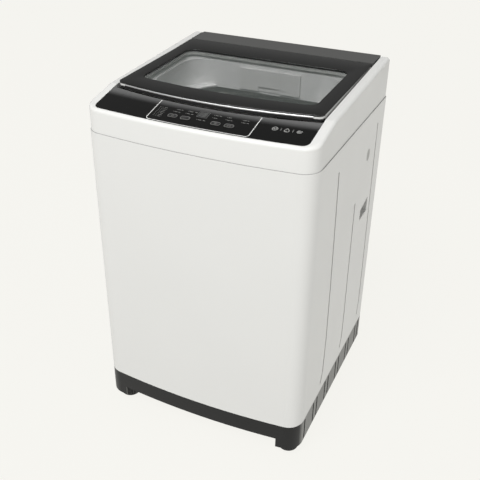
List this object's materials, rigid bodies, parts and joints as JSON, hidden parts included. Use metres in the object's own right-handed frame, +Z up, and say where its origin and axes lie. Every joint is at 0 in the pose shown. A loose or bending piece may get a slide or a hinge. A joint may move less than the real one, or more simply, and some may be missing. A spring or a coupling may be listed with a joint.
{
  "type": "top load washing machine",
  "caption": "Top-loading washing machine with a glazed lift-up lid, sloped front key panel, suspended tub and basket, belt drive and detergent drawer.",
  "frame": {"origin": "on the floor under the middle of the machine's footprint", "axes": "+Z up, front towards -Y, right side (seen from the front) towards +X"},
  "size_m": [0.55, 0.556, 0.8876],
  "materials": {
    "white_enamel": "satin white enamel on sheet steel",
    "white_plastic": "satin white moulding",
    "black_plastic": "fine-textured black moulding",
    "grey_plastic": "fine-textured dark grey moulding",
    "galvanised": "galvanised sheet",
    "zinc_screw": "zinc plated",
    "steel": "bright drawn steel",
    "spring_steel": "oiled spring wire",
    "motor_steel": "black enamel",
    "nylon": "natural nylon",
    "rubber": "matt black rubber",
    "gloss_black": "high gloss black",
    "key_black": "satin black caps",
    "display": "smoked window",
    "dark_glass": "gloss charcoal",
    "clear_glass": "clear toughened glass",
    "silver_trim": "satin silver",
    "drawer_plastic": "semi-gloss white",
    "tub_plastic": "natural polypropylene",
    "ring_plastic": "light grey moulding",
    "stainless": "perforated stainless sheet",
    "pulsator_plastic": "grey moulding",
    "aluminium": "die cast"
  },
  "bodies": {
    "machine": {"cabinet": "white_enamel", "base": "black_plastic", "side_plugs": "white_plastic", "service_cover": "galvanised", "service_screws": "zinc_screw", "cord_gland": "black_plastic", "rod_sockets": "nylon", "suspension_rods": "steel", "spring_cups": "nylon", "suspension_springs": "spring_steel", "rear_feet": "black_plastic", "rear_soles": "rubber", "side_grips": "white_plastic", "top_cover": "white_plastic", "tray": "white_plastic", "rear_panel": "grey_plastic", "control_panel": "gloss_black", "display_window": "display", "panel_carrier": "white_plastic", "control_board": "grey_plastic", "lid_buffers": "rubber", "lid_lock": "black_plastic", "drawer_housing": "white_plastic", "inlet_valve": "white_plastic", "drain_bellows": "rubber", "drain_outlet": "black_plastic", "capacitor": "grey_plastic", "pressure_sensor": "white_plastic"},
    "lid": {"lid_bezel": "dark_glass", "lid_glass": "clear_glass", "lid_underframe": "white_plastic", "lid_trim": "silver_trim", "lid_hinge_pins": "steel"},
    "drawer": {"detergent_drawer": "drawer_plastic"},
    "power_key": {"key_power": "key_black"},
    "program_key": {"key_program": "key_black"},
    "water_level_key": {"key_water_level": "key_black"},
    "start_key": {"key_start": "key_black"},
    "tub": {"outer_tub": "tub_plastic", "tub_ring": "tub_plastic", "tub_bearing": "steel", "drive_bracket": "galvanised", "gearbox": "aluminium", "motor": "motor_steel", "drive_belt": "rubber", "drain_valve": "black_plastic"},
    "basket": {"wash_basket": "stainless", "balance_ring": "ring_plastic", "basket_hub": "aluminium", "lint_filter": "ring_plastic"},
    "agitator": {"pulsator": "pulsator_plastic", "pulsator_screw": "steel", "agitate_shaft": "steel", "drive_pulley": "aluminium"},
    "rotor": {"rotor_shaft": "steel", "motor_pulley": "aluminium"},
    "left_sole": {"sole_left": "rubber"},
    "left_screw": {"foot_left": "black_plastic"},
    "right_sole": {"sole_right": "rubber"},
    "right_screw": {"foot_right": "black_plastic"}
  },
  "joints": [
    {"name": "lid_hinge", "type": "hinge", "parent": "machine", "child": "lid", "pos_m": [0, 0.198, 0.8794], "axis": [-1, 0, 0], "range_deg": [0, 95]},
    {"name": "drawer_slide", "type": "slide", "parent": "machine", "child": "drawer", "axis": [0, -1, 0], "range_m": [0, 0.062]},
    {"name": "power_press", "type": "slide", "parent": "machine", "child": "power_key", "axis": [0, 0.2149, -0.9766], "range_m": [0, 0.001], "stiffness_N_per_m": 400, "springref_m": -0.002},
    {"name": "program_press", "type": "slide", "parent": "machine", "child": "program_key", "axis": [0, 0.2149, -0.9766], "range_m": [0, 0.001], "stiffness_N_per_m": 400, "springref_m": -0.002},
    {"name": "water_level_press", "type": "slide", "parent": "machine", "child": "water_level_key", "axis": [0, 0.2149, -0.9766], "range_m": [0, 0.001], "stiffness_N_per_m": 400, "springref_m": -0.002},
    {"name": "start_press", "type": "slide", "parent": "machine", "child": "start_key", "axis": [0, 0.2149, -0.9766], "range_m": [0, 0.001], "stiffness_N_per_m": 400, "springref_m": -0.002},
    {"name": "tub_bounce", "type": "slide", "parent": "machine", "child": "tub", "axis": [0, 0, 1], "range_m": [-0.02, 0.01], "stiffness_N_per_m": 12000, "springref_m": 0.01951, "deforming": ["suspension_springs", "drain_bellows"]},
    {"name": "basket_spin", "type": "hinge", "parent": "tub", "child": "basket", "pos_m": [0, 0.002, 0.4], "axis": [0, 0, 1], "continuous": true},
    {"name": "agitator_spin", "type": "hinge", "parent": "tub", "child": "agitator", "pos_m": [0, 0.002, 0.25], "axis": [0, 0, 1], "continuous": true},
    {"name": "motor_spin", "type": "hinge", "parent": "tub", "child": "rotor", "pos_m": [0.118, 0.095, 0.1], "axis": [0, 0, 1], "continuous": true},
    {"name": "left_foot_height", "type": "slide", "parent": "machine", "child": "left_sole", "axis": [0, 0, -1], "range_m": [0, 0.008]},
    {"name": "left_foot_turn", "type": "hinge", "parent": "left_sole", "child": "left_screw", "pos_m": [-0.237, -0.219, 0.02], "axis": [0, 0, -1], "range_deg": [0, 1450]},
    {"name": "right_foot_height", "type": "slide", "parent": "machine", "child": "right_sole", "axis": [0, 0, -1], "range_m": [0, 0.008]},
    {"name": "right_foot_turn", "type": "hinge", "parent": "right_sole", "child": "right_screw", "pos_m": [0.237, -0.219, 0.02], "axis": [0, 0, -1], "range_deg": [0, 1450]}
  ],
  "couplings": [
    {"joint": "motor_spin", "follows": "agitator_spin", "ratio": 3.0896},
    {"joint": "left_foot_turn", "follows": "left_foot_height", "rad_per_m": 3141.6},
    {"joint": "right_foot_turn", "follows": "right_foot_height", "rad_per_m": 3141.6}
  ]
}
